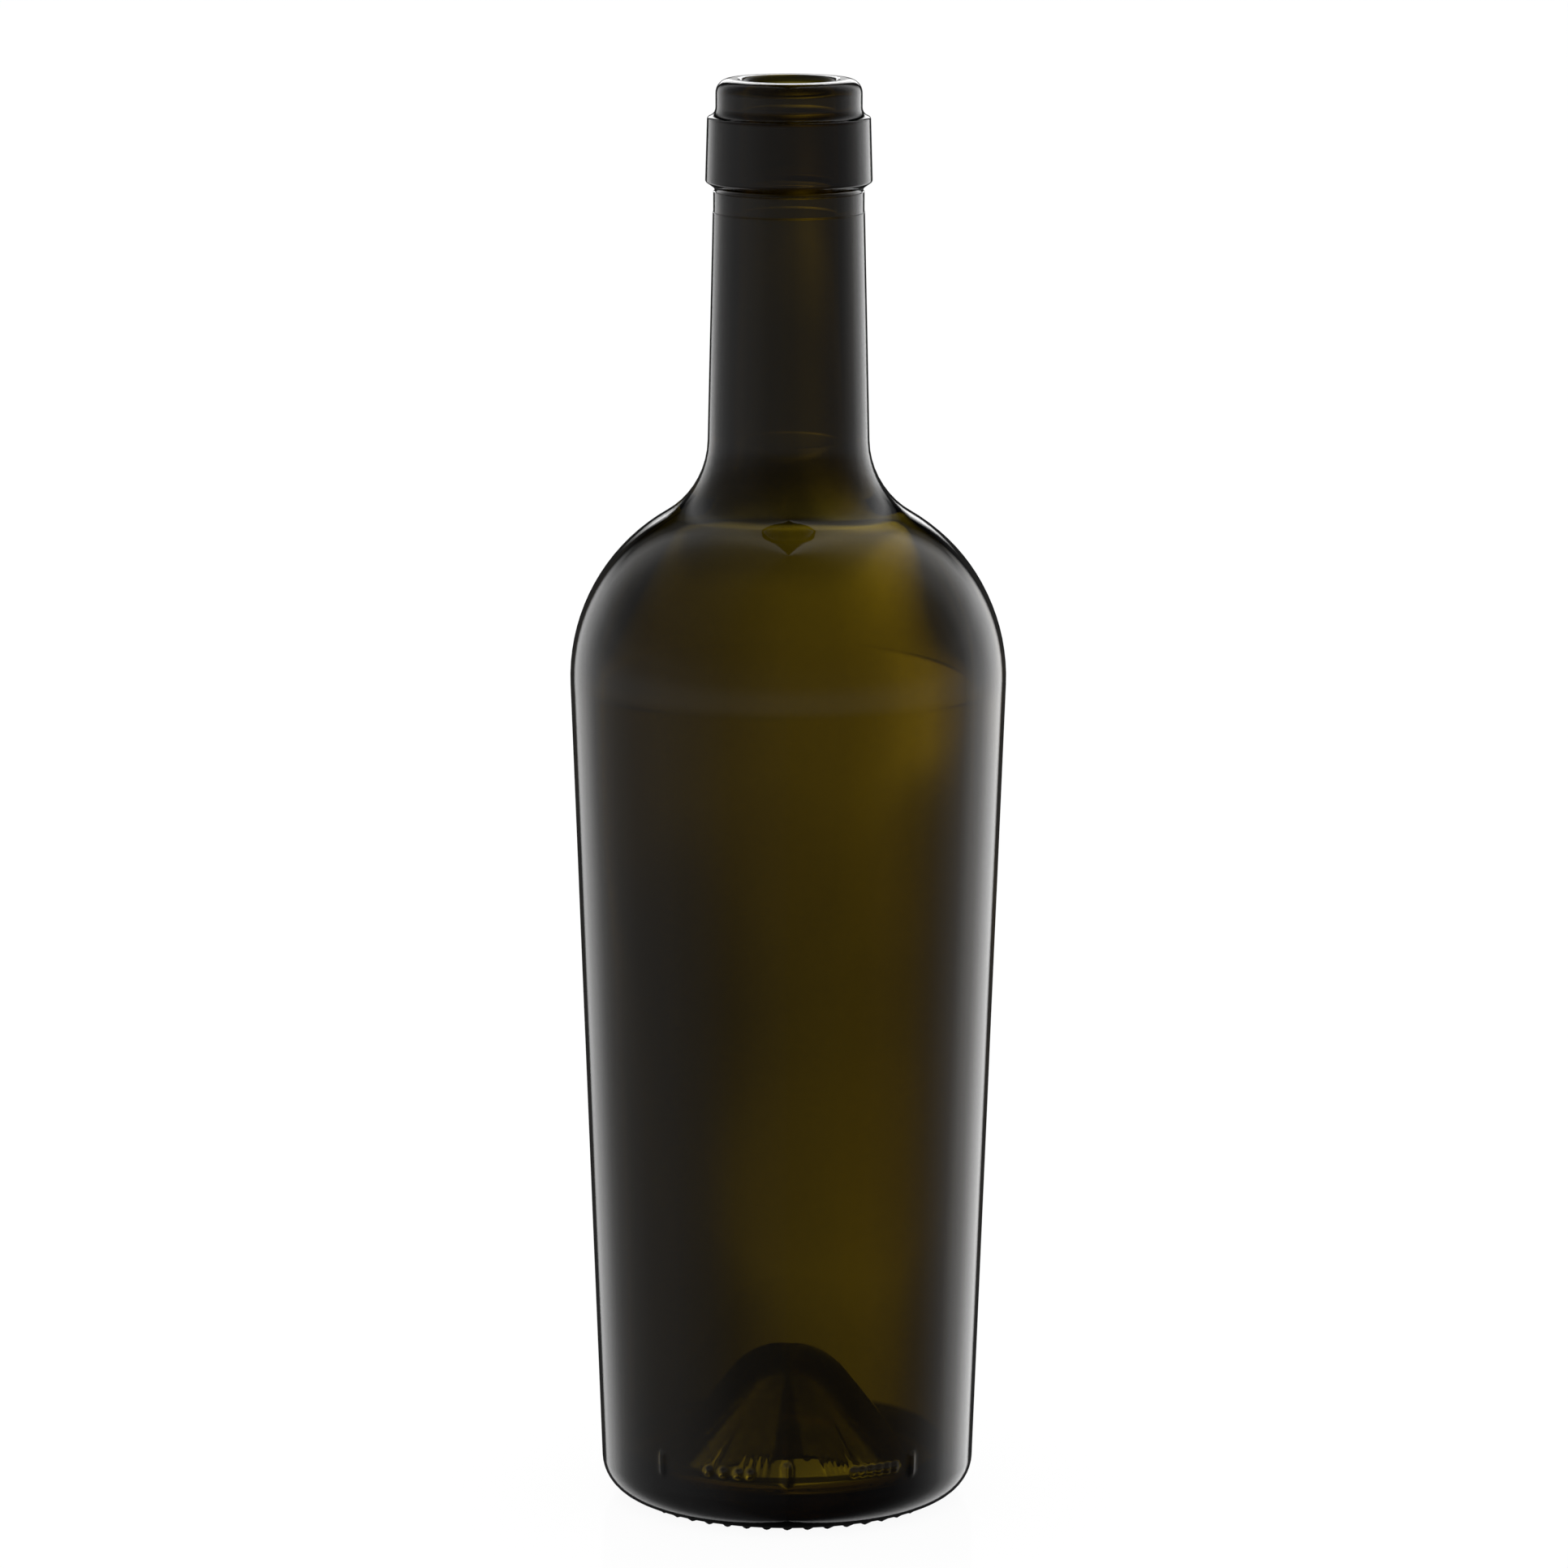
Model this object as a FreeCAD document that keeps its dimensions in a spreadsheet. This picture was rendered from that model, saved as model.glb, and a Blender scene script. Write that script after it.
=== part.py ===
"""A 750 ml wine bottle of thick dark glass, empty and open, blown in one piece.

The body widens a little from the heel up to a round shoulder, the neck is slim, and the mouth has a
band and a lip ring for a cork. The base is pushed up into a deep punt. The bottle stands on a ring of
small knurls, and its heel carries a plain mould code of upright bars.

Millimetres. +Z is the bottle's axis, pointing up. The origin is the centre of the base, in the plane
that the knurls stand on. -Y is the side that carries the mould code.
"""
import FreeCAD, Part

import math
import os

import Sketcher
from FreeCAD import Placement, Rotation, Vector

NODE = "bottle"

# Every size that can be set by itself: its name, its value and what it measures.
SIZES = [
    ("overall_height", 290.0, "from the plane it stands on to the top of the lip"),
    ("body_diameter", 88.0, "widest part, at the shoulder"),
    ("base_diameter", 75.4, "where the straight side, carried down, meets the standing plane"),
    ("shoulder_height", 169.5, "height of the widest part"),
    ("shoulder_radius", 38.5, "round of the shoulder, seen from the side"),
    ("heel_radius", 7.3, "round between the side and the base"),
    ("bearing_radius", 4.0, "round between the base and the punt"),
    ("punt_depth", 26.0, "height of the punt's top, outside, over the standing plane"),
    ("dome_radius", 10.4, "round top of the punt, outside"),
    ("neck_blend_radius", 17.6, "hollow curve between the shoulder and the neck"),
    ("neck_base_diameter", 32.5, "neck where that curve ends"),
    ("neck_diameter", 30.2, "neck ring, just under the band"),
    ("seam_step", 0.11, "step out at the mould line under the neck ring"),
    ("seam_depth", 26.5, "mould line, measured down from the lip"),
    ("shelf_width", 0.3, "ledge on top of the neck ring"),
    ("root_radius", 1.1, "hollow under the band"),
    ("underside_angle", 35.0, "slope of the band's underside, degrees"),
    ("band_diameter", 33.4, "band, at its lower end"),
    ("band_top_diameter", 32.7, "band, at its upper end"),
    ("band_bottom_depth", 20.1, "lower end of the band's side, down from the lip"),
    ("band_top_depth", 8.0, "upper end of the band's side, down from the lip"),
    ("band_corner_radius", 0.6, "rounded edges of the band"),
    ("step_radius", 1.9, "hollow curve from the band to the lip ring"),
    ("ring_diameter", 29.3, "lip ring"),
    ("lip_radius", 2.8, "outer round of the lip"),
    ("inner_lip_radius", 1.0, "inner round of the lip"),
    ("bore_diameter", 18.5, "mouth, where the cork goes in"),
    ("bore_base_diameter", 21.6, "inside of the neck, at its foot"),
    ("wall", 5.4, "glass of the side and the shoulder, measured level, so a steep shoulder is thinner"),
    ("punt_wall", 5.0, "glass at the top of the punt"),
    ("floor_height", 7.6, "lowest point inside, over the standing plane"),
    ("trough_radius", 4.6, "inside round between the side and the punt"),
    ("knurl_count", 48, "knurls round the base"),
    ("knurl_length", 3.6, "one knurl, outwards from the axis"),
    ("knurl_width", 2.0, "one knurl, across"),
    ("knurl_rise", 0.5, "how far the knurls hold the base off the ground"),
    ("mark_height", 13.2, "middle of the mould code over the standing plane"),
    ("mark_width", 1.8, "one bar of the mould code, across, before it is sunk in the side"),
    ("mark_relief", 0.4, "how far the bars stand out of the side"),
    ("tall_mark", 5.6, "length of a tall bar"),
    ("short_mark", 2.6, "length of a short bar"),
]

# Groups of bars in the mould code: name, bar length, how many, first and last bearing in degrees.
MARKS = [
    ("tall", "tall_mark", 3, -131.0, -49.0),
    ("left", "short_mark", 4, -114.0, -101.0),
    ("right", "short_mark", 6, -69.0, -55.0),
]

# How a sketch names its own origin and axes, and the centre of an arc.
ORIGIN = (-1, 1)
H_AXIS = -1
V_AXIS = -2
CENTRE = 3

# Slopes that the outline is first drawn with, in degrees. Its tangent constraints settle the true ones.
FLANK = 48.0
TAPER = 2.0


def make_sheet(doc):
    """The spreadsheet of driving sizes: name, value and meaning in three columns."""
    sheet = doc.addObject("Spreadsheet::Sheet", "sizes")
    for row, (alias, size, meaning) in enumerate(SIZES, start=1):
        sheet.set(f"A{row}", alias)
        sheet.set(f"B{row}", str(size))
        sheet.set(f"C{row}", meaning)
        sheet.setAlias(f"B{row}", alias)
    doc.recompute()
    return sheet


def origin_feature(body, role):
    """One of the body's own origin planes or axes."""
    return next(item for item in body.Origin.OriginFeatures if item.Role == role)


def add_sketch(body, name):
    """A sketch in the body's XZ plane: its x is the radius and its y the height."""
    sketch = body.newObject("Sketcher::SketchObject", name)
    sketch.AttachmentSupport = [(origin_feature(body, "XZ_Plane"), "")]
    sketch.MapMode = "FlatFace"
    return sketch


def revolve(body, name, sketch, axis):
    """A full turn of a sketch about one of its own axes."""
    feature = body.newObject("PartDesign::Revolution", name)
    feature.Profile = sketch
    feature.ReferenceAxis = (sketch, [axis])
    feature.Angle = 360.0
    return feature


def repeat(body, name, feature, count):
    """Copies of a feature about the bottle's axis. The caller sets their angle."""
    pattern = body.newObject("PartDesign::PolarPattern", name)
    pattern.Originals = [feature]
    pattern.Axis = (origin_feature(body, "Z_Axis"), [""])
    pattern.Occurrences = count
    body.Tip = pattern
    return pattern


class Outline:
    """A closed chain of lines and arcs in a sketch, drawn near its place and settled by constraints.

    Each piece is kept as (geometry number, vertex at its start, vertex at its end).
    """

    def __init__(self, sketch, start):
        self.sketch = sketch
        self.pen = Vector(*start, 0)
        self.pieces = []

    def line(self, end, smooth=False):
        end = Vector(*end, 0)
        number = self.sketch.addGeometry(Part.LineSegment(self.pen, end))
        return self.join((number, 1, 2), end, smooth)

    def arc(self, centre, end, clockwise=False, smooth=True):
        centre = Vector(*centre, 0)
        end = Vector(*end, 0)
        spoke = self.pen - centre
        circle = Part.Circle(centre, Vector(0, 0, 1), spoke.Length)
        first = math.atan2(spoke.y, spoke.x)
        last = math.atan2(end.y - centre.y, end.x - centre.x)
        if clockwise:
            number = self.sketch.addGeometry(Part.ArcOfCircle(circle, last, first))
            return self.join((number, 2, 1), end, smooth)
        number = self.sketch.addGeometry(Part.ArcOfCircle(circle, first, last))
        return self.join((number, 1, 2), end, smooth)

    def join(self, piece, end, smooth):
        """Ties the new piece to the one before it, in line with it if the joint is smooth."""
        if self.pieces:
            before = self.pieces[-1]
            kind = "Tangent" if smooth else "Coincident"
            self.tie(kind, before[0], before[2], piece[0], piece[1])
        self.pieces.append(piece)
        self.pen = end
        return piece

    def close(self):
        last = self.pieces[-1]
        first = self.pieces[0]
        self.tie("Coincident", last[0], last[2], first[0], first[1])

    def tie(self, kind, *where):
        return self.sketch.addConstraint(Sketcher.Constraint(kind, *where))

    def measure(self, kind, name, formula, *where):
        """A named dimension bound to the sheet. It starts from the formula's present value."""
        present = float(self.sketch.evalExpression(formula))
        if kind == "Angle":
            present = math.radians(present)
        number = self.sketch.addConstraint(Sketcher.Constraint(kind, *where, present))
        self.sketch.renameConstraint(number, name)
        self.sketch.setExpression(f"Constraints.{name}", formula)

    def reach(self, name, formula, number, vertex):
        """Distance of a point from the bottle's axis."""
        self.measure("DistanceX", name, formula, *ORIGIN, number, vertex)

    def rise(self, name, formula, number, vertex):
        """Height of a point."""
        self.measure("DistanceY", name, formula, *ORIGIN, number, vertex)

    def radius(self, name, formula, piece):
        self.measure("Radius", name, formula, piece[0])

    def read(self, kind, name, *where):
        """A named dimension that follows the outline, for other features to use."""
        number = self.sketch.addConstraint(Sketcher.Constraint(kind, *where, 1.0))
        self.sketch.setDriving(number, False)
        self.sketch.renameConstraint(number, name)

    def marker(self, at):
        """A construction point."""
        number = self.sketch.addGeometry(Part.Point(Vector(*at, 0)), True)
        return number, 1


def along(start, end, distance):
    """The point a distance away from start, towards end."""
    share = distance / math.dist(start, end)
    return tuple(a + (b - a) * share for a, b in zip(start, end))


def turned(centre, radius, degrees):
    """The point of a circle at an angle from the sketch's x."""
    angle = math.radians(degrees)
    return centre[0] + radius * math.cos(angle), centre[1] + radius * math.sin(angle)


def draw_base(outline, size):
    """Outside, from the punt's top over the bearing ring and the heel to the straight side."""
    foot = size["base_diameter"] / 2
    dome_centre = (0, size["punt_depth"] - size["dome_radius"])
    ring_reach = foot - size["heel_radius"]
    ring_centre = (ring_reach, size["knurl_rise"] + size["bearing_radius"])
    heel_centre = (ring_reach, size["knurl_rise"] + size["heel_radius"])

    dome_edge = turned(dome_centre, size["dome_radius"], 90 - FLANK)
    dome = outline.arc(dome_centre, dome_edge, clockwise=True)
    outline.line(turned(ring_centre, size["bearing_radius"], 270 - FLANK), smooth=True)
    bearing = outline.arc(ring_centre, (ring_reach, size["knurl_rise"]))
    heel = outline.arc(heel_centre, (foot, heel_centre[1]))

    outline.tie("PointOnObject", dome[0], dome[1], V_AXIS)
    outline.tie("PointOnObject", dome[0], CENTRE, V_AXIS)
    outline.rise("punt_top", "sizes.punt_depth", dome[0], dome[1])
    outline.radius("dome", "sizes.dome_radius", dome)
    outline.radius("bearing", "sizes.bearing_radius", bearing)
    outline.radius("heel", "sizes.heel_radius", heel)
    outline.tie("Vertical", bearing[0], CENTRE, bearing[0], bearing[2])
    outline.rise("base_rise", "sizes.knurl_rise", bearing[0], bearing[2])
    outline.read("DistanceX", "bearing_circle", *ORIGIN, bearing[0], CENTRE)
    return dome


def draw_body(outline, size):
    """Outside, from the heel up the straight side and over the shoulder to the neck."""
    widest = size["body_diameter"] / 2
    shoulder_centre = (widest - size["shoulder_radius"], size["shoulder_height"])
    blend_reach = size["neck_base_diameter"] / 2 + size["neck_blend_radius"]
    span = size["shoulder_radius"] + size["neck_blend_radius"]
    blend_rise = math.sqrt(span**2 - (blend_reach - shoulder_centre[0]) ** 2)
    blend_centre = (blend_reach, shoulder_centre[1] + blend_rise)

    side = outline.line(turned(shoulder_centre, size["shoulder_radius"], -TAPER), smooth=True)
    shoulder = outline.arc(shoulder_centre, along(shoulder_centre, blend_centre, size["shoulder_radius"]))
    blend = outline.arc(blend_centre, (size["neck_base_diameter"] / 2, blend_centre[1]), clockwise=True)

    foot_number, foot_vertex = outline.marker((size["base_diameter"] / 2, 0))
    outline.tie("PointOnObject", foot_number, foot_vertex, H_AXIS)
    outline.tie("PointOnObject", foot_number, foot_vertex, side[0])
    outline.reach("foot", "sizes.base_diameter / 2", foot_number, foot_vertex)

    widest_number, widest_vertex = outline.marker((widest, size["shoulder_height"]))
    outline.tie("PointOnObject", widest_number, widest_vertex, shoulder[0])
    outline.tie("Horizontal", widest_number, widest_vertex, shoulder[0], CENTRE)
    outline.reach("widest", "sizes.body_diameter / 2", widest_number, widest_vertex)
    outline.rise("widest_rise", "sizes.shoulder_height", widest_number, widest_vertex)
    outline.radius("shoulder", "sizes.shoulder_radius", shoulder)

    outline.radius("blend", "sizes.neck_blend_radius", blend)
    outline.reach("neck_foot", "sizes.neck_base_diameter / 2", blend[0], blend[2])

    mark_number, mark_vertex = outline.marker((size["base_diameter"] / 2, size["mark_height"]))
    outline.tie("PointOnObject", mark_number, mark_vertex, side[0])
    outline.rise("mark_rise", "sizes.mark_height", mark_number, mark_vertex)
    outline.read("DistanceX", "mark_circle", *ORIGIN, mark_number, mark_vertex)
    return side, shoulder


def draw_finish(outline, size):
    """Outside, from the neck's foot up over the neck ring, the band and the lip ring to the top."""
    top = size["overall_height"]
    neck = size["neck_diameter"] / 2
    seam = top - size["seam_depth"]
    slope = size["underside_angle"]
    corner = size["band_corner_radius"]
    band_bottom = (size["band_diameter"] / 2, top - size["band_bottom_depth"])
    band_top = (size["band_top_diameter"] / 2, top - size["band_top_depth"])
    low_centre = (band_bottom[0] - corner, band_bottom[1])
    high_centre = (band_top[0] - corner, band_top[1])
    low_corner = turned(low_centre, corner, slope - 90)
    root_reach = neck - size["shelf_width"] + size["root_radius"]
    root_end = turned((root_reach, 0), size["root_radius"], slope + 90)[0]
    root_fall = (low_corner[0] - root_end) * math.tan(math.radians(slope))
    root_rise = size["root_radius"] * math.cos(math.radians(slope))
    root_centre = (root_reach, low_corner[1] - root_fall - root_rise)
    ring = size["ring_diameter"] / 2
    step_reach = ring + size["step_radius"]
    step_span = corner + size["step_radius"]
    step_rise = math.sqrt(step_span**2 - (step_reach - high_centre[0]) ** 2)
    step_centre = (step_reach, high_centre[1] + step_rise)
    lip_centre = (ring - size["lip_radius"], top - size["lip_radius"])

    taper = outline.line((neck + size["seam_step"], seam), smooth=True)
    ledge = outline.line((neck, seam))
    ring_wall = outline.line((neck, root_centre[1]))
    shelf = outline.line((neck - size["shelf_width"], root_centre[1]))
    root_top = turned(root_centre, size["root_radius"], slope + 90)
    root = outline.arc(root_centre, root_top, clockwise=True, smooth=False)
    underside = outline.line(low_corner, smooth=True)
    low_edge = outline.arc(low_centre, band_bottom)
    band = outline.line(band_top, smooth=True)
    high_edge = outline.arc(high_centre, along(high_centre, step_centre, corner))
    step = outline.arc(step_centre, (ring, step_centre[1]), clockwise=True)
    ring_side = outline.line((ring, lip_centre[1]), smooth=True)
    lip = outline.arc(lip_centre, (lip_centre[0], top))

    outline.reach("seam", "sizes.neck_diameter / 2 + sizes.seam_step", taper[0], taper[2])
    outline.rise("seam_rise", "sizes.overall_height - sizes.seam_depth", taper[0], taper[2])
    outline.tie("Horizontal", ledge[0])
    outline.reach("neck", "sizes.neck_diameter / 2", ledge[0], ledge[2])
    outline.tie("Vertical", ring_wall[0])
    outline.tie("Horizontal", shelf[0])
    outline.reach("shelf", "sizes.neck_diameter / 2 - sizes.shelf_width", shelf[0], shelf[2])
    outline.tie("Horizontal", root[0], root[1], root[0], CENTRE)
    outline.radius("root", "sizes.root_radius", root)
    outline.measure("Angle", "underside", "sizes.underside_angle * 1deg", underside[0])
    outline.radius("low_edge", "sizes.band_corner_radius", low_edge)
    outline.reach("band_low", "sizes.band_diameter / 2", band[0], band[1])
    outline.rise("band_low_rise", "sizes.overall_height - sizes.band_bottom_depth", band[0], band[1])
    outline.reach("band_high", "sizes.band_top_diameter / 2", band[0], band[2])
    outline.rise("band_high_rise", "sizes.overall_height - sizes.band_top_depth", band[0], band[2])
    outline.radius("high_edge", "sizes.band_corner_radius", high_edge)
    outline.radius("step", "sizes.step_radius", step)
    outline.tie("Vertical", ring_side[0])
    outline.reach("ring", "sizes.ring_diameter / 2", ring_side[0], ring_side[1])
    outline.radius("lip", "sizes.lip_radius", lip)


def draw_inside(outline, size, dome, side, shoulder):
    """Inside, from the lip down the bore, the shoulder and the side to the top of the punt."""
    top = size["overall_height"]
    bore = size["bore_diameter"] / 2
    inner_lip = size["inner_lip_radius"]
    neck_foot = size["bore_base_diameter"] / 2
    shoulder_radius = size["shoulder_radius"]
    blend_radius = size["neck_blend_radius"]
    shoulder_centre = (size["body_diameter"] / 2 - shoulder_radius - size["wall"], size["shoulder_height"])
    blend_reach = neck_foot + blend_radius
    span = shoulder_radius + blend_radius
    blend_rise = math.sqrt(span**2 - (blend_reach - shoulder_centre[0]) ** 2)
    blend_centre = (blend_reach, shoulder_centre[1] + blend_rise)
    inner_foot = size["base_diameter"] / 2 - size["wall"]
    trough_centre = (inner_foot - size["trough_radius"], size["floor_height"] + size["trough_radius"])
    dome_centre = (0, size["punt_depth"] - size["dome_radius"])
    dome_radius = size["dome_radius"] + size["punt_wall"]

    rim = outline.line((bore + inner_lip, top), smooth=True)
    inner_edge = outline.arc((bore + inner_lip, top - inner_lip), (bore, top - inner_lip))
    neck = outline.line((neck_foot, blend_centre[1]), smooth=True)
    blend = outline.arc(blend_centre, along(blend_centre, shoulder_centre, blend_radius))
    shoulder_foot = turned(shoulder_centre, shoulder_radius, -TAPER)
    inner_shoulder = outline.arc(shoulder_centre, shoulder_foot, clockwise=True)
    inner_side = outline.line((inner_foot, trough_centre[1]), smooth=True)
    trough_edge = turned(trough_centre, size["trough_radius"], 270 - FLANK)
    trough = outline.arc(trough_centre, trough_edge, clockwise=True)
    outline.line(turned(dome_centre, dome_radius, 90 - FLANK), smooth=True)
    inner_dome = outline.arc(dome_centre, (0, dome_centre[1] + dome_radius))
    outline.line((0, size["punt_depth"]))
    outline.close()

    outline.tie("Horizontal", rim[0])
    outline.rise("top", "sizes.overall_height", rim[0], rim[1])
    outline.radius("inner_lip", "sizes.inner_lip_radius", inner_edge)
    outline.reach("bore", "sizes.bore_diameter / 2", neck[0], neck[1])
    outline.reach("bore_foot", "sizes.bore_base_diameter / 2", neck[0], neck[2])
    outline.radius("inner_blend", "sizes.neck_blend_radius", blend)
    outline.tie("Horizontal", inner_shoulder[0], CENTRE, shoulder[0], CENTRE)
    outline.measure("DistanceX", "wall", "sizes.wall", inner_shoulder[0], CENTRE, shoulder[0], CENTRE)
    outline.radius("inner_shoulder", "sizes.shoulder_radius", inner_shoulder)
    outline.tie("Parallel", inner_side[0], side[0])
    outline.radius("trough", "sizes.trough_radius", trough)
    outline.rise("trough_rise", "sizes.floor_height + sizes.trough_radius", trough[0], CENTRE)
    outline.tie("Coincident", inner_dome[0], CENTRE, dome[0], CENTRE)
    outline.radius("inner_dome", "sizes.dome_radius + sizes.punt_wall", inner_dome)
    outline.tie("PointOnObject", inner_dome[0], inner_dome[2], V_AXIS)


def make_glass(body, size):
    """The bottle's wall, as one full turn of its section. Its seam runs between two knurls."""
    sketch = add_sketch(body, "section")
    sketch.AttachmentOffset = Placement(Vector(), Rotation(Vector(0, 1, 0), 180 / size["knurl_count"]))
    sketch.setExpression("AttachmentOffset.Rotation.Angle", "180deg / sizes.knurl_count")
    outline = Outline(sketch, (0, size["punt_depth"]))
    dome = draw_base(outline, size)
    side, shoulder = draw_body(outline, size)
    draw_finish(outline, size)
    draw_inside(outline, size, dome, side, shoulder)
    revolve(body, "glass", sketch, "V_Axis")


def draw_capsule(sketch, length, width, upright):
    """Half the side view of a round-ended bar about the sketch's origin, bound to two formulas."""
    full = float(sketch.evalExpression(length)) / 2
    radius = float(sketch.evalExpression(width)) / 2
    axis = V_AXIS if upright else H_AXIS
    clockwise = not upright

    def place(forward, out):
        return (out, forward) if upright else (forward, out)

    outline = Outline(sketch, place(-full, 0))
    tail = outline.arc(place(radius - full, 0), place(radius - full, radius), clockwise=clockwise)
    outline.line(place(full - radius, radius), smooth=True)
    head = outline.arc(place(full - radius, 0), place(full, 0), clockwise=clockwise)
    spine = outline.line(place(-full, 0))
    outline.close()

    for end in (tail, head):
        outline.tie("PointOnObject", end[0], CENTRE, axis)
    outline.tie("PointOnObject", spine[0], spine[1], axis)
    outline.tie("Symmetric", spine[0], spine[1], spine[0], spine[2], *ORIGIN)
    outline.tie("Equal", tail[0], head[0])
    outline.measure("Distance", "length", length, spine[0])
    outline.radius("end", f"{width} / 2", tail)


def make_knurls(body):
    """Short round-ended bars, pointing outwards, all round the bearing ring."""
    sketch = add_sketch(body, "knurl_side")
    sketch.setExpression("AttachmentOffset.Base.x", "section.Constraints.bearing_circle")
    sketch.setExpression("AttachmentOffset.Base.y", "sizes.knurl_width / 2")
    draw_capsule(sketch, "sizes.knurl_length", "sizes.knurl_width", upright=False)
    knurl = revolve(body, "knurl", sketch, "H_Axis")
    pattern = repeat(body, "knurls", knurl, 2)
    pattern.setExpression("Occurrences", "sizes.knurl_count")
    pattern.Angle = 360.0


def make_marks(body, group, length, count, first, last):
    """One group of upright bars of the mould code, low on the side."""
    sketch = add_sketch(body, f"{group}_mark_side")
    sunk = "section.Constraints.mark_circle + (sizes.mark_relief - sizes.mark_width / 2) * 1mm"
    sketch.AttachmentOffset = Placement(Vector(), Rotation(Vector(0, 1, 0), first))
    sketch.setExpression("AttachmentOffset.Base.x", f"({sunk}) * cos({first}deg)")
    sketch.setExpression("AttachmentOffset.Base.y", "sizes.mark_height")
    sketch.setExpression("AttachmentOffset.Base.z", f"-({sunk}) * sin({first}deg)")
    draw_capsule(sketch, f"sizes.{length}", "sizes.mark_width", upright=True)
    mark = revolve(body, f"{group}_mark", sketch, "V_Axis")
    pattern = repeat(body, f"{group}_marks", mark, count)
    pattern.Angle = last - first


def check(doc, body):
    """Stops the build if any object failed or the bottle isn't one sound solid."""
    for item in doc.Objects:
        faults = {"Invalid", "Error"} & set(item.State)
        if faults:
            raise RuntimeError(f"{item.Name} is {sorted(faults)}")
    for sketch in doc.findObjects("Sketcher::SketchObject"):
        if not sketch.FullyConstrained:
            raise RuntimeError(f"sketch {sketch.Name} is loose")
    shape = body.Shape
    if shape.isNull() or not shape.isValid() or len(shape.Solids) != 1:
        raise RuntimeError("the bottle is not one valid solid")


def main():
    doc = FreeCAD.newDocument("wine_bottle")
    sheet = make_sheet(doc)
    size = {alias: float(sheet.get(alias)) for alias, _, _ in SIZES}

    body = doc.addObject("PartDesign::Body", NODE)
    body.Label = NODE
    body.Placement = Placement(Vector(0, 0, 0), Rotation())
    make_glass(body, size)
    doc.recompute()
    make_knurls(body)
    for group in MARKS:
        make_marks(body, *group)
    doc.recompute()

    check(doc, body)
    os.makedirs("parts", exist_ok=True)
    body.Shape.exportStep(os.path.join("parts", f"{NODE}.step"))
    box = body.Shape.BoundBox
    print(f"{NODE}: {box.XLength:.2f} x {box.YLength:.2f} x {box.ZLength:.2f} mm,")
    print(f"from z {box.ZMin:.3f}, {body.Shape.Volume / 1000:.1f} ml of glass")


main()
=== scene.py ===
"""An empty tapered wine bottle of dark olive glass, standing on a plain white table."""
import math

import bpy
from mathutils import Matrix, Vector


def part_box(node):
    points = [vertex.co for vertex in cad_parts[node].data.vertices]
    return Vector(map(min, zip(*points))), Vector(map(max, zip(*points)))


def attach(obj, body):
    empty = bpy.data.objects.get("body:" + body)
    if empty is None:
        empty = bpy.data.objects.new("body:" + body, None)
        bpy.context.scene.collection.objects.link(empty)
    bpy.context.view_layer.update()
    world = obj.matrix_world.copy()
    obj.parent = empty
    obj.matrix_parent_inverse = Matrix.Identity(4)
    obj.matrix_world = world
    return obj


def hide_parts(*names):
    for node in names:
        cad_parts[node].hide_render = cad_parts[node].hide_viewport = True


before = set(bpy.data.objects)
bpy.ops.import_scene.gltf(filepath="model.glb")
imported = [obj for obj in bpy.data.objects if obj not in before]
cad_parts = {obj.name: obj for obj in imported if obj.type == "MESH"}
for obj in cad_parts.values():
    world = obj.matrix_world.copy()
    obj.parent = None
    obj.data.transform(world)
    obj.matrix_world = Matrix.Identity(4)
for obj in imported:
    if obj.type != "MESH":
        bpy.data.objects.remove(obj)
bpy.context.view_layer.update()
bottle_low, bottle_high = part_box("bottle")

MM = 0.001

# The CAD's sizes in millimetres and degrees, under the names that they have there.
OVERALL_HEIGHT = (bottle_high.z - bottle_low.z) / MM
BODY_DIAMETER = (bottle_high.x - bottle_low.x) / MM
BASE_DIAMETER = 75.4
SHOULDER_HEIGHT = 169.5
SHOULDER_RADIUS = 38.5
HEEL_RADIUS = 7.3
BEARING_RADIUS = 4.0
PUNT_DEPTH = 26.0
DOME_RADIUS = 10.4
NECK_BLEND_RADIUS = 17.6
NECK_BASE_DIAMETER = 32.5
NECK_DIAMETER = 30.2
SEAM_STEP = 0.11
SEAM_DEPTH = 26.5
SHELF_WIDTH = 0.3
ROOT_RADIUS = 1.1
UNDERSIDE_ANGLE = 35.0
BAND_DIAMETER = 33.4
BAND_TOP_DIAMETER = 32.7
BAND_BOTTOM_DEPTH = 20.1
BAND_TOP_DEPTH = 8.0
BAND_CORNER_RADIUS = 0.6
STEP_RADIUS = 1.9
RING_DIAMETER = 29.3
LIP_RADIUS = 2.8
INNER_LIP_RADIUS = 1.0
BORE_DIAMETER = 18.5
BORE_BASE_DIAMETER = 21.6
WALL = 5.4
PUNT_WALL = 5.0
FLOOR_HEIGHT = 7.6
TROUGH_RADIUS = 4.6
KNURL_COUNT = 48
KNURL_LENGTH = 3.6
KNURL_WIDTH = 2.0
KNURL_RISE = 0.5
MARK_HEIGHT = 13.2
MARK_WIDTH = 1.8
MARK_RELIEF = 0.4
TALL_MARK = 5.6
SHORT_MARK = 2.6

# Groups of bars in the mould code: first and last bearing in degrees, how many, and bar length.
MARKS = ((-131, -49, 3, TALL_MARK), (-114, -101, 4, SHORT_MARK), (-69, -55, 6, SHORT_MARK))

KNURL_CORNERS = 8
ROUND = KNURL_COUNT * KNURL_CORNERS  # corners of the mesh round the bottle


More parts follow.
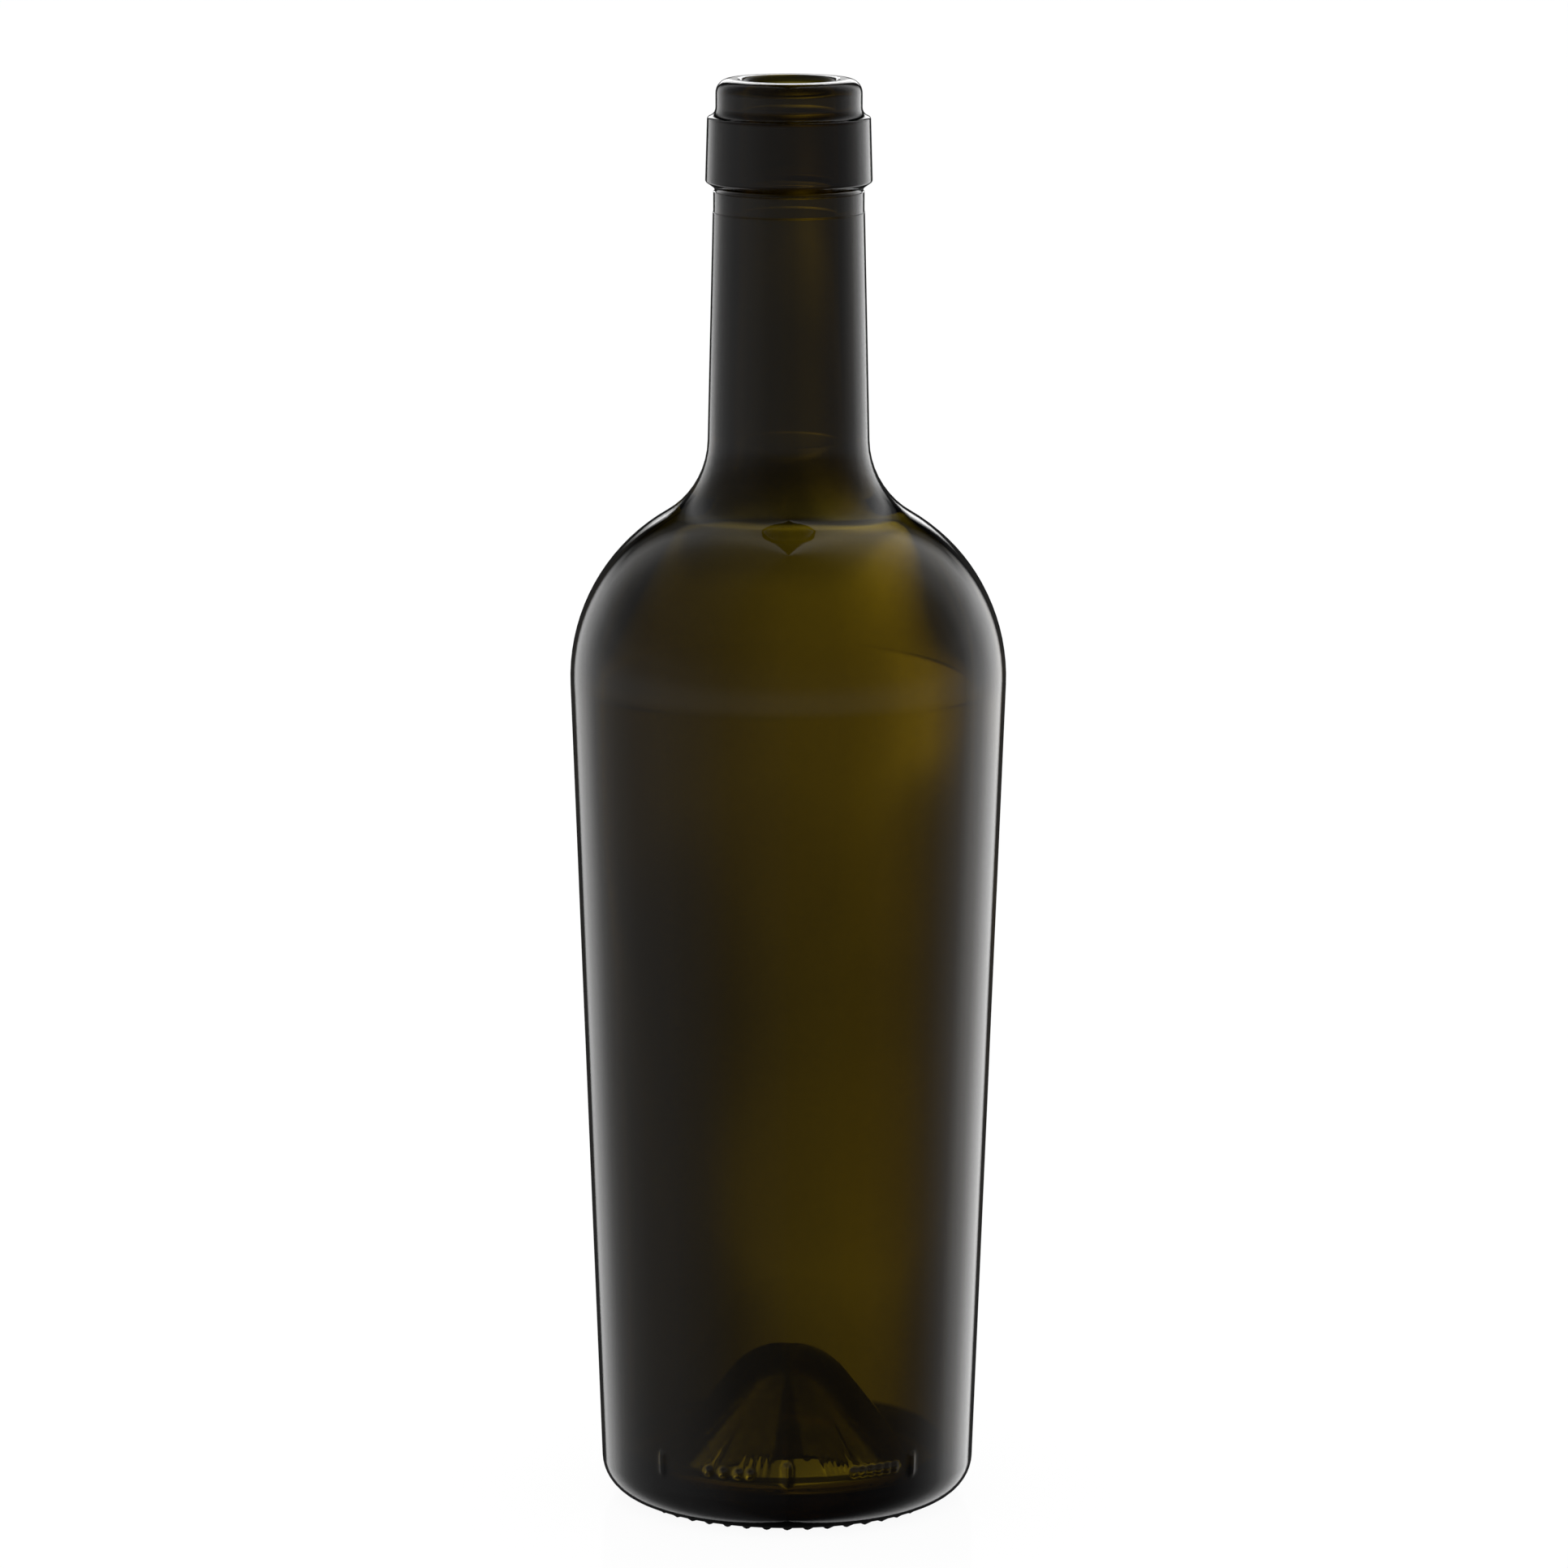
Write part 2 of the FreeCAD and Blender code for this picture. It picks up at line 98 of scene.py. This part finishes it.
# ---------------------------------------------------------------- the bottle's section
# Half of the section is a belt laid round circles and along the lines that touch two of them. Going
# round a circle with a radius above zero makes a round of the glass, one below zero a hollow in it.
# The belt starts under the punt, goes up the outside and over the lip, and comes down the inside.
EDGE = 0.05  # round that stands for a sharp corner
SAME_PLACE = 0.01  # rings nearer than this are one
SHORT_LINE = 0.8  # a line under this length gets no rings
CLOSE_RING = 0.25  # a ring this near each end of a line keeps its shading flat
BEND_ROUNDS = 12

# Heights of the rings up the side: close enough for the mould code's bars, then for slow waviness.
SIDE_RINGS = [9.9 + 0.52 * n for n in range(14)] + [22.0 + 8.0 * n for n in range(18)]


class Circle:
    """A circle of the belt: its middle's distance from the axis and height, and its radius."""

    def __init__(self, across, up, radius):
        self.across = across
        self.up = up
        self.radius = radius

    def at(self, angle):
        """The point of the circle, or of the hollow's far side, that faces this way."""
        across = self.across + self.radius * math.cos(angle)
        return across, self.up + self.radius * math.sin(angle)


def facing(angle):
    return math.cos(angle), math.sin(angle)


def touching(first, second):
    """Which way the belt's line from one circle to the next faces, as an angle."""
    across, up = second.across - first.across, second.up - first.up
    reach = math.hypot(across, up)
    lean = max(-1.0, min(1.0, (first.radius - second.radius) / reach))
    return math.atan2(up, across) - math.acos(lean)


def neck_bend(shoulder, end, radius, outside):
    """The circle between a shoulder and a neck wall: it touches both, and the wall runs to end."""
    gap = abs(shoulder.radius) + abs(radius)
    start = (outside, shoulder.up + gap * 0.86)  # a first guess, settled by the rounds that follow
    for _ in range(BEND_ROUNDS):
        rise = math.atan2(end[1] - start[1], end[0] - start[0])
        across, up = math.sin(rise), -math.cos(rise)
        middle = start[0] + across * abs(radius)
        height = shoulder.up + math.sqrt(gap ** 2 - (middle - shoulder.across) ** 2)
        start = (outside, height - up * abs(radius))
    return Circle(middle, height, radius)


def inset_circle(place, toward, radius):
    """A round of this radius inside the edge point of a line that faces this way."""
    return Circle(place[0] - radius * toward[0], place[1] - radius * toward[1], radius)


def section():
    """The belt, outside and inside: each circle, the steps round it, and the rings after it."""
    shoulder = Circle(BODY_DIAMETER / 2 - SHOULDER_RADIUS, SHOULDER_HEIGHT, SHOULDER_RADIUS)
    foot = Circle(BASE_DIAMETER / 2, 0.0, 0.0)
    side_across, side_up = facing(touching(foot, shoulder))

    def beside(height, inset):
        """Distance from the axis of a point at this height, this deep under the side's cone."""
        return (side_across * foot.across - inset - side_up * height) / side_across

    heel_up = HEEL_RADIUS + KNURL_RISE
    heel = Circle(beside(heel_up, HEEL_RADIUS), heel_up, HEEL_RADIUS)
    bearing = Circle(heel.across, BEARING_RADIUS + KNURL_RISE, BEARING_RADIUS)
    dome = Circle(0.0, PUNT_DEPTH - DOME_RADIUS, -DOME_RADIUS)
    ring = NECK_DIAMETER / 2
    seam_up = OVERALL_HEIGHT - SEAM_DEPTH
    blend = neck_bend(
        shoulder, (ring + SEAM_STEP, seam_up), -NECK_BLEND_RADIUS, NECK_BASE_DIAMETER / 2)

    band_foot = (BAND_DIAMETER / 2, OVERALL_HEIGHT - BAND_BOTTOM_DEPTH)
    band_head = (BAND_TOP_DIAMETER / 2, OVERALL_HEIGHT - BAND_TOP_DEPTH)
    band_side = facing(touching(Circle(*band_foot, 0.0), Circle(*band_head, 0.0)))
    low_edge = inset_circle(band_foot, band_side, BAND_CORNER_RADIUS)
    high_edge = inset_circle(band_head, band_side, BAND_CORNER_RADIUS)
    slope_across = math.sin(math.radians(UNDERSIDE_ANGLE))
    slope_up = math.cos(math.radians(UNDERSIDE_ANGLE))
    underside = slope_across * low_edge.across - slope_up * low_edge.up + low_edge.radius
    root_across = ring - SHELF_WIDTH + ROOT_RADIUS
    shelf_up = (slope_across * root_across - underside - ROOT_RADIUS) / slope_up
    step_across = RING_DIAMETER / 2 + STEP_RADIUS
    step_reach = BAND_CORNER_RADIUS + STEP_RADIUS
    step_up = high_edge.up + math.sqrt(step_reach ** 2 - (step_across - high_edge.across) ** 2)
    lip = Circle(RING_DIAMETER / 2 - LIP_RADIUS, OVERALL_HEIGHT - LIP_RADIUS, LIP_RADIUS)

    mouth_up = OVERALL_HEIGHT - INNER_LIP_RADIUS
    mouth = Circle(BORE_DIAMETER / 2 + INNER_LIP_RADIUS, mouth_up, INNER_LIP_RADIUS)
    inner_shoulder = Circle(shoulder.across - WALL, SHOULDER_HEIGHT, -SHOULDER_RADIUS)
    inner_blend = neck_bend(
        inner_shoulder, (BORE_DIAMETER / 2, mouth_up), NECK_BLEND_RADIUS, BORE_BASE_DIAMETER / 2)
    trough_up = FLOOR_HEIGHT + TROUGH_RADIUS
    trough_inset = WALL * side_across + TROUGH_RADIUS
    trough = Circle(beside(trough_up, trough_inset), trough_up, -TROUGH_RADIUS)
    inner_dome = Circle(0.0, dome.up, DOME_RADIUS + PUNT_WALL)

    outside = [
        (dome, 6, 5), (bearing, 9, 0), (heel, 12, SIDE_RINGS), (shoulder, 18, 0), (blend, 9, 8),
        (Circle(ring + SEAM_STEP - EDGE, seam_up - EDGE, EDGE), 2, 0),
        (Circle(ring + EDGE, seam_up + EDGE, -EDGE), 2, 0),
        (Circle(ring - EDGE, shelf_up - 2 * EDGE, EDGE), 2, 0),
        (Circle(ring - SHELF_WIDTH + EDGE, shelf_up, -EDGE), 2, 0),
        (Circle(root_across, shelf_up, -ROOT_RADIUS), 5, 0), (low_edge, 5, 3), (high_edge, 4, 0),
        (Circle(step_across, step_up, -STEP_RADIUS), 6, 0), (lip, 10, 1),
    ]
    inside = [
        (mouth, 6, 9), (inner_blend, 9, 0), (inner_shoulder, 15, 20), (trough, 9, 4),
        (inner_dome, 7, 0),
    ]
    return outside, inside


def least_turn(angle):
    """The same turn, the short way round."""
    while angle > math.pi:
        angle -= 2 * math.pi
    while angle < -math.pi:
        angle += 2 * math.pi
    return angle


def rings():
    """The mesh's rings from the punt's top outside to its top inside. Each is its distance from the
    axis, its height, the angle that its skin faces, and whether it is on the outside."""
    outside, inside = section()
    belt = outside + inside
    circles = [circle for circle, _, _ in belt]
    lines = [touching(first, second) for first, second in zip(circles, circles[1:])]
    starts = [-math.pi / 2] + lines
    ends = lines + [math.pi / 2]
    found = []
    for number, (circle, steps, between) in enumerate(belt):
        outer = number < len(outside)
        turn = least_turn(ends[number] - starts[number])
        for step in range(steps + 1):
            angle = starts[number] + turn * step / steps
            place = circle.at(angle)
            if found and step == 0 and math.dist(found[-1][:2], place) < SAME_PLACE:
                continue
            found.append((*place, angle, outer))
        if number + 1 < len(belt):
            start, end = circle.at(ends[number]), circles[number + 1].at(ends[number])
            for share in line_shares(between, start, end):
                across = start[0] + (end[0] - start[0]) * share
                found.append((across, start[1] + (end[1] - start[1]) * share, ends[number], outer))
    return found


def line_shares(between, start, end):
    """How far along a line its rings lie: at the given heights, or as many evenly as it says."""
    length = math.dist(start, end)
    if length < SHORT_LINE:
        return []
    if isinstance(between, list):
        shares = [(height - start[1]) / (end[1] - start[1]) for height in between]
    else:
        shares = [(n + 1) / (between + 1) for n in range(between)]
    close = min(CLOSE_RING, length / 6) / length
    return [close] + shares + [1 - close]


# ---------------------------------------------------------------- what mould and blowing left
ON_AXIS = 1e-6  # a ring nearer to the axis than this is one point
NEAR_GROUND = 2.0  # the base's skin under this height is drawn down onto the knurls
SEAM_BEARINGS = (6, 186)
SEAM_RISE = 0.045
BODY_DRIFT = 0.24
NECK_DRIFT = 0.06
OUTER_DRIFT = 0.02

# Heights over which the drift and the seams come in, and go out again.
BODY_SPAN = ((4, 22), (190, 225))
NECK_SPAN = ((205, 230), (OVERALL_HEIGHT - 25, OVERALL_HEIGHT - 6))
SEAM_SPAN = ((16, 24), (OVERALL_HEIGHT - 30, OVERALL_HEIGHT - 27))

# Slow waves of blown glass: strength, waves round the bottle, millimetres up it for each radian
# (below zero for a wave that leans the other way), and where the wave starts.
WAVES = ((0.50, 2, 37, 0.8), (0.32, 3, -23, 2.1), (0.18, 5, 15, 4.0), (0.14, 1, 9, 0.0),
         (0.10, 7, -11, 1.3))


def corner_angle(corners):
    return 2 * math.pi * corners / ROUND


def corner_at(bearing):
    """The corner of the mesh nearest to a bearing in degrees."""
    return round(bearing / 360 * ROUND) % ROUND


def corners_apart(first, second):
    """How many corners lie from the second to the first, the short way, with a sign."""
    return (first - second + ROUND // 2) % ROUND - ROUND // 2


def capsule(along, across, length, width):
    """Height of a bar with round ends and a half-round back over its own middle plane, or None."""
    radius = width / 2
    out = max(0.0, abs(along) - (length / 2 - radius))
    left = radius ** 2 - across ** 2 - out ** 2
    return math.sqrt(left) if left > 0 else None


def knurl_floor(out, along):
    """Height of a knurl's underside, this far out and round from its middle, or None beyond it."""
    back = capsule(out, along, KNURL_LENGTH, KNURL_WIDTH)
    return None if back is None else KNURL_WIDTH / 2 - back


def mark_rise(height, along, length):
    """How far a bar of the mould code stands out at this height, this far round from its middle."""
    back = capsule(height - MARK_HEIGHT, along, length, MARK_WIDTH)
    return 0.0 if back is None else max(0.0, back - (MARK_WIDTH / 2 - MARK_RELIEF))


def mark_bars():
    """The mould code's upright bars, as the corner that each stands on and its length."""
    bars = []
    for first, last, count, length in MARKS:
        for n in range(count):
            bars.append((corner_at(first + (last - first) * n / (count - 1)), length))
    return bars


def ramp(value, low, high):
    """A smooth rise from nothing at low to one at high."""
    share = max(0.0, min(1.0, (value - low) / (high - low)))
    return share * share * (3 - 2 * share)


def within(height, span):
    """One inside a span of heights, nothing outside it, and a smooth ramp at both its ends."""
    comes, goes = span
    return ramp(height, *comes) * (1 - ramp(height, *goes))


def drift(turn, height, outer):
    """How far blown glass wanders from the true section here: much inside, hardly outside."""
    slow = sum(
        strength * math.sin(count * turn + height / rise + start)
        for strength, count, rise, start in WAVES)
    body = within(height, BODY_SPAN)
    if outer:
        return -OUTER_DRIFT * abs(slow) * body
    return slow * (BODY_DRIFT * body + NECK_DRIFT * within(height, NECK_SPAN))


def mould_rise(corner, across, up, bars, seams):
    """How far the mould code and the seams lift the outside at one corner of a ring."""
    out = 0.0
    if abs(up - MARK_HEIGHT) < TALL_MARK / 2:
        for middle, length in bars:
            apart = corners_apart(corner, middle)
            out += mark_rise(up, corner_angle(apart) * across, length)
    if corner in seams:
        out += SEAM_RISE * within(up, SEAM_SPAN)
    return out


def ring_places(across, up, angle, outer, bearing, bars, seams):
    """One ring's corners in metres, with the drift, and on the outside the mould's detail."""
    places = []
    for corner in range(ROUND):
        turn = corner_angle(corner)
        out = drift(turn, up, outer)
        rise = up
        if outer:
            out += mould_rise(corner, across, up, bars, seams)
        if outer and up < NEAR_GROUND:
            from_knurl = (corner + KNURL_CORNERS // 2 - 1) % KNURL_CORNERS - KNURL_CORNERS // 2 + 1
            low = knurl_floor(across - bearing, corner_angle(from_knurl) * across)
            rise = up if low is None else min(up, low)
        wide = across + out * math.cos(angle)
        places.append((
            wide * math.cos(turn) * MM, wide * math.sin(turn) * MM,
            (rise + out * math.sin(angle)) * MM))
    return places


def faces_between(low, high):
    """The faces from one ring of corner numbers to the next; a ring of one number is a point."""
    faces = []
    for corner in range(ROUND):
        after = (corner + 1) % ROUND
        if len(low) == 1:
            faces.append((low[0], high[after], high[corner]))
        elif len(high) == 1:
            faces.append((low[corner], low[after], high[0]))
        else:
            faces.append((low[corner], low[after], high[after], high[corner]))
    return faces


def bottle_mesh():
    """The whole bottle as one closed skin, outside and inside, in metres."""
    outside, _ = section()
    bearing = outside[1][0].across
    bars = mark_bars()
    seams = [corner_at(bearing_angle) for bearing_angle in SEAM_BEARINGS]
    places, numbers = [], []
    for across, up, angle, outer in rings():
        if across < ON_AXIS:
            ring = [(0.0, 0.0, up * MM)]
        else:
            ring = ring_places(across, up, angle, outer, bearing, bars, seams)
        numbers.append(range(len(places), len(places) + len(ring)))
        places += ring
    faces = []
    for low, high in zip(numbers, numbers[1:]):
        faces += faces_between(low, high)
    mesh = bpy.data.meshes.new("bottle_glass")
    mesh.from_pydata(places, [], faces)
    mesh.update()
    mesh.polygons.foreach_set("use_smooth", [True] * len(mesh.polygons))
    return mesh


# ---------------------------------------------------------------- materials
WHITE = (1, 1, 1, 1)
BRIGHTEST = 3.0  # the highest level that a curve of levels can hold


class Nodes:
    """Short hand for building a node tree."""

    def __init__(self, tree):
        self.tree = tree
        tree.nodes.clear()

    def add(self, kind, inputs=None, **values):
        """A node of this kind, with its own unlinked inputs and its settings."""
        node = self.tree.nodes.new(kind)
        for name, value in values.items():
            setattr(node, name, value)
        for name, value in (inputs or {}).items():
            node.inputs[name].default_value = value
        return node

    def join(self, source, target):
        self.tree.links.new(source, target)

    def feed(self, sockets, values):
        """Gives each socket its value: a number, another node's output, or nothing."""
        for socket, value in zip(sockets, values):
            if isinstance(value, (int, float)):
                socket.default_value = value
            elif value is not None:
                self.join(value, socket)

    def maths(self, operation, *values):
        node = self.add("ShaderNodeMath", operation=operation)
        self.feed(node.inputs, values)
        return node.outputs[0]

    def between(self, share, first, second):
        """The first value where the share is zero, the second where it is one."""
        node = self.add("ShaderNodeMix", data_type="FLOAT")
        self.feed(node.inputs[:4], (share, None, first, second))
        return node.outputs[0]

    def curve(self, angle, reach, stops):
        """Levels over an angle that runs from -reach to reach; the stops are (angle, level)."""
        share = self.add("ShaderNodeMapRange", {"From Min": -reach, "From Max": reach})
        self.join(angle, share.inputs["Value"])
        levels = self.add("ShaderNodeValToRGB")
        levels.color_ramp.interpolation = "LINEAR"
        elements = levels.color_ramp.elements
        while len(elements) < len(stops):
            elements.new(0.5)
        for element, (place, _) in zip(elements, stops):
            element.position = (place + reach) / (2 * reach)
        for element, (_, level) in zip(elements, stops):
            grey = level / BRIGHTEST
            element.color = (grey, grey, grey, 1)
        self.join(share.outputs[0], levels.inputs[0])
        return self.maths("MULTIPLY", levels.outputs[0], BRIGHTEST)


def new_material(name):
    material = bpy.data.materials.new(name)
    material.use_nodes = True
    return material, Nodes(material.node_tree)


def olive_glass():
    """Olive glass: its colour is in its depth, its skin a little smudged and hardly rippled."""
    material, nodes = new_material("olive_glass")
    end = nodes.add("ShaderNodeOutputMaterial")
    skin = nodes.add("ShaderNodeBsdfPrincipled", {
        "Base Color": WHITE, "Transmission Weight": 1.0, "IOR": 1.52})
    place = nodes.add("ShaderNodeTexCoord")

    smudge = nodes.add("ShaderNodeTexNoise", {"Scale": 38.0, "Detail": 4.0})
    nodes.join(place.outputs["Object"], smudge.inputs["Vector"])
    spread = nodes.add("ShaderNodeMapRange", {
        "From Min": 0.35, "From Max": 0.75, "To Min": 0.0, "To Max": 0.02})
    nodes.join(smudge.outputs[0], spread.inputs["Value"])
    nodes.join(spread.outputs[0], skin.inputs["Roughness"])

    stretch = nodes.add("ShaderNodeMapping", {"Scale": (1.0, 1.0, 0.3)})
    nodes.join(place.outputs["Object"], stretch.inputs["Vector"])
    ripple = nodes.add("ShaderNodeTexNoise", {"Scale": 45.0, "Detail": 2.0})
    nodes.join(stretch.outputs[0], ripple.inputs["Vector"])
    bump = nodes.add("ShaderNodeBump", {"Strength": 0.02, "Distance": 0.001})
    nodes.join(ripple.outputs[0], bump.inputs["Height"])
    nodes.join(bump.outputs[0], skin.inputs["Normal"])

    depth = nodes.add("ShaderNodeVolumeAbsorption", {
        "Color": (0.647, 0.587, 0.029, 1), "Density": 700.0})
    nodes.join(skin.outputs[0], end.inputs["Surface"])
    nodes.join(depth.outputs[0], end.inputs["Volume"])
    return material


def table_white():
    """Matt white: most of it is the backdrop's white, and a little takes the bottle's shadow."""
    backdrop_share, sheen_share = 0.94, 0.12
    material, nodes = new_material("table_white")
    end = nodes.add("ShaderNodeOutputMaterial")
    glow = nodes.add("ShaderNodeEmission", {"Color": WHITE, "Strength": 1.0})
    matt = nodes.add("ShaderNodeBsdfDiffuse", {"Color": WHITE})
    gloss = nodes.add("ShaderNodeBsdfGlossy", {"Roughness": 0.12})
    sheen = nodes.add("ShaderNodeMixShader")
    nodes.feed(sheen.inputs, (sheen_share, matt.outputs[0], gloss.outputs[0]))
    rays = nodes.add("ShaderNodeLightPath").outputs
    seen = nodes.maths("ADD", rays["Is Camera Ray"], rays["Is Glossy Ray"])
    seen = nodes.maths("ADD", seen, rays["Is Transmission Ray"])
    share = nodes.maths("MULTIPLY", seen, backdrop_share)
    blend = nodes.add("ShaderNodeMixShader")
    nodes.feed(blend.inputs, (share, sheen.outputs[0], glow.outputs[0]))
    nodes.join(blend.outputs[0], end.inputs["Surface"])
    return material


# ---------------------------------------------------------------- the light
# The camera and matt surfaces see a plain white room. Mirrored light and light that has passed
# through the glass each see levels of their own, over the turn from straight ahead and over the
# height above the horizon, in degrees. Those levels aren't a plain idea of a studio. They started
# as numbers that other programs worked back from the brightness of the photograph's glass, and
# were then rounded and partly changed. They suit the main view.
HALF_TURN = 180
UPRIGHT = 90
CAMERA_LEVEL = 1.0
MATT_LEVEL = 1.15
SIDEWAYS_LEVEL = 0.55


def mirrored_light(nodes, turn, height):
    """Tall soft panels left and right of a dark gap, a low glimmer beside it, and a card above."""
    panels = nodes.maths("MULTIPLY", nodes.curve(turn, HALF_TURN, [
        (-180, 0.07), (-150, 0.10), (-130, 0.18), (-110, 0.24), (-90, 0.26), (-75, 0.32),
        (-63, 0.42), (-55, 0.57), (-43, 1.05), (-30, 1.35), (-27, 1.25), (-23, 0.05), (-8, 0.02),
        (8, 0.02), (23, 0.05), (27, 1.7), (30, 2.0), (43, 1.7), (55, 1.08), (63, 0.86), (73, 0.45),
        (82, 0.30), (95, 0.15), (110, 0.08), (140, 0.05), (180, 0.06)]), nodes.curve(
            height, UPRIGHT, [
                (-90, 0.5), (-30, 0.8), (-20, 1.0), (-6, 1.0), (10, 0.85), (16, 0.65), (25, 0.5),
                (35, 0.48), (45, 0.4), (60, 0.35), (90, 0.3)]))
    wedge = nodes.maths("MULTIPLY", nodes.curve(turn, HALF_TURN, [
        (-180, 0), (-36, 0), (-28, 1), (28, 1), (36, 0), (180, 0)]), nodes.curve(height, UPRIGHT, [
            (-90, 0), (6, 0), (16, 0.85), (60, 0.85), (75, 0), (90, 0)]))
    glimmer = nodes.maths("MULTIPLY", nodes.curve(height, UPRIGHT, [
        (-90, 0), (-12, 0), (-8, 0.12), (-2, 0.12), (6, 0.02), (90, 0.02)]), nodes.curve(
            turn, HALF_TURN, [(-180, 1), (-60, 1), (-25, 0), (25, 0), (60, 1), (180, 1)]))
    card = nodes.maths("MULTIPLY", nodes.curve(turn, HALF_TURN, [
        (-180, 0), (-16, 0), (-13, 2.5), (13, 2.5), (16, 0), (180, 0)]), nodes.curve(
            height, UPRIGHT, [(-90, 0), (4, 0), (7, 1), (38, 1), (44, 0), (90, 0)]))
    level = nodes.maths("MULTIPLY", panels, nodes.maths("SUBTRACT", 1.0, wedge))
    return nodes.maths("ADD", nodes.maths("ADD", level, glimmer), card)


def passed_light(nodes, turn, height):
    """A sweep of levels over the height, brighter to the right of ahead, and even at the sides."""
    sweep = nodes.curve(height, UPRIGHT, [
        (-90, 0.3), (-60, 0.5), (-52, 0.5), (-44, 0.04), (-22, 0.04), (-17, 0.25), (-14.8, 0.36),
        (-14.2, 0.46), (-13.5, 0.44), (-12.6, 0.34), (-12, 0.34), (-11.6, 0.36), (-11.2, 0.42),
        (-10.9, 0.5), (-10.6, 0.62), (-10.2, 0.72), (-9.8, 0.66), (-9, 0.4), (-8.4, 0.07),
        (-7.6, 0.035), (-7, 0.04), (-6.7, 0.08), (-6.3, 0.12), (-6.1, 0.06), (-5.5, 0.04),
        (-2.5, 0.05), (0, 0.08), (4, 0.12), (9, 0.18), (90, 0.18)])
    upper = nodes.curve(turn, HALF_TURN, [
        (-180, 0.5), (-60, 0.5), (-30, 0.4), (-7, 0.4), (-4, 0.47), (-2.5, 0.6), (-1.3, 0.77),
        (0, 1.0), (1.5, 1.15), (2.7, 1.6), (4.3, 2.3), (8, 2.95), (12, 2.3), (20, 1.6), (35, 0.9),
        (180, 0.5)])
    lower = nodes.curve(turn, HALF_TURN, [
        (-180, 0.5), (-60, 0.5), (-30, 0.2), (-7, 0.1), (-4, 0.25), (-2.5, 0.5), (-1.3, 0.75),
        (0, 1.0), (1.5, 1.25), (2.7, 1.5), (4.3, 1.7), (7, 1.6), (11, 1.1), (20, 0.7), (35, 0.6),
        (180, 0.5)])
    which = nodes.add("ShaderNodeMapRange", {
        "From Min": -12.0, "From Max": -10.2}, interpolation_type="SMOOTHSTEP")
    nodes.join(height, which.inputs["Value"])
    ahead = nodes.maths("MULTIPLY", sweep, nodes.between(which.outputs[0], lower, upper))
    aside = nodes.curve(turn, HALF_TURN, [
        (-180, 1), (-85, 1), (-65, 0), (65, 0), (85, 1), (180, 1)])
    return nodes.between(aside, ahead, SIDEWAYS_LEVEL)


def studio():
    """The world: a plain white room, except to mirrored and to passed light."""
    world = bpy.data.worlds.new("studio")
    world.use_nodes = True
    world.cycles.sampling_method = "NONE"
    nodes = Nodes(world.node_tree)
    place = nodes.add("ShaderNodeTexCoord")
    parts = nodes.add("ShaderNodeSeparateXYZ")
    nodes.join(place.outputs["Generated"], parts.inputs[0])
    right, ahead, up = parts.outputs
    degrees = 180 / math.pi
    height = nodes.maths("MULTIPLY", nodes.maths("ARCSINE", up), degrees)
    turn = nodes.maths("MULTIPLY", nodes.maths("ARCTAN2", right, ahead), degrees)

    rays = nodes.add("ShaderNodeLightPath").outputs
    level = nodes.between(rays["Is Camera Ray"], MATT_LEVEL, CAMERA_LEVEL)
    level = nodes.between(rays["Is Glossy Ray"], level, mirrored_light(nodes, turn, height))
    level = nodes.between(rays["Is Transmission Ray"], level, passed_light(nodes, turn, height))

    sky = nodes.add("ShaderNodeBackground", {"Color": WHITE})
    end = nodes.add("ShaderNodeOutputWorld")
    nodes.join(level, sky.inputs["Strength"])
    nodes.join(sky.outputs[0], end.inputs["Surface"])
    return world


# ---------------------------------------------------------------- the scene
TABLE_RADIUS = 9.0
TABLE_CORNERS = 120
TABLE_CLEARANCE = 0.00005
LENS = 169.5
SENSOR_WIDTH = 36.0
SIDE_SHIFT = -0.0026
FAR_CLIP = 100
CAMERA_PLACE = (0, -1.4693, 0.4186)
CAMERA_LOOKS_DOWN = 10.46
CAMERA_ROLL = 0.08


def add_object(name, data):
    item = bpy.data.objects.new(name, data)
    bpy.context.scene.collection.objects.link(item)
    return item


def add_bottle():
    bottle = add_object("bottle_glass", bottle_mesh())
    bottle.data.materials.append(olive_glass())
    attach(bottle, "root")
    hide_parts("bottle")


def add_table():
    """A round white floor far wider than the view, which only the camera and matt light see."""
    angles = [2 * math.pi * n / TABLE_CORNERS for n in range(TABLE_CORNERS)]
    corners = [(math.cos(a) * TABLE_RADIUS, math.sin(a) * TABLE_RADIUS, 0) for a in angles]
    ground = bpy.data.meshes.new("table")
    ground.from_pydata(corners, [], [tuple(range(TABLE_CORNERS))])
    table = add_object("table", ground)
    table.location.z = bottle_low.z - TABLE_CLEARANCE
    table.visible_glossy = False
    table.visible_transmission = False
    table.data.materials.append(table_white())


def add_camera():
    lens = bpy.data.cameras.new("camera")
    lens.lens = LENS
    lens.sensor_width = SENSOR_WIDTH
    lens.shift_x = SIDE_SHIFT
    lens.clip_end = FAR_CLIP
    camera = add_object("camera", lens)
    camera.matrix_world = (
        Matrix.Translation(Vector(CAMERA_PLACE))
        @ Matrix.Rotation(math.radians(90 - CAMERA_LOOKS_DOWN), 4, "X")
        @ Matrix.Rotation(math.radians(CAMERA_ROLL), 4, "Z"))
    return camera


add_bottle()
add_table()
bpy.context.scene.world = studio()
bpy.context.scene.camera = add_camera()
bpy.context.scene.view_settings.view_transform = "Standard"
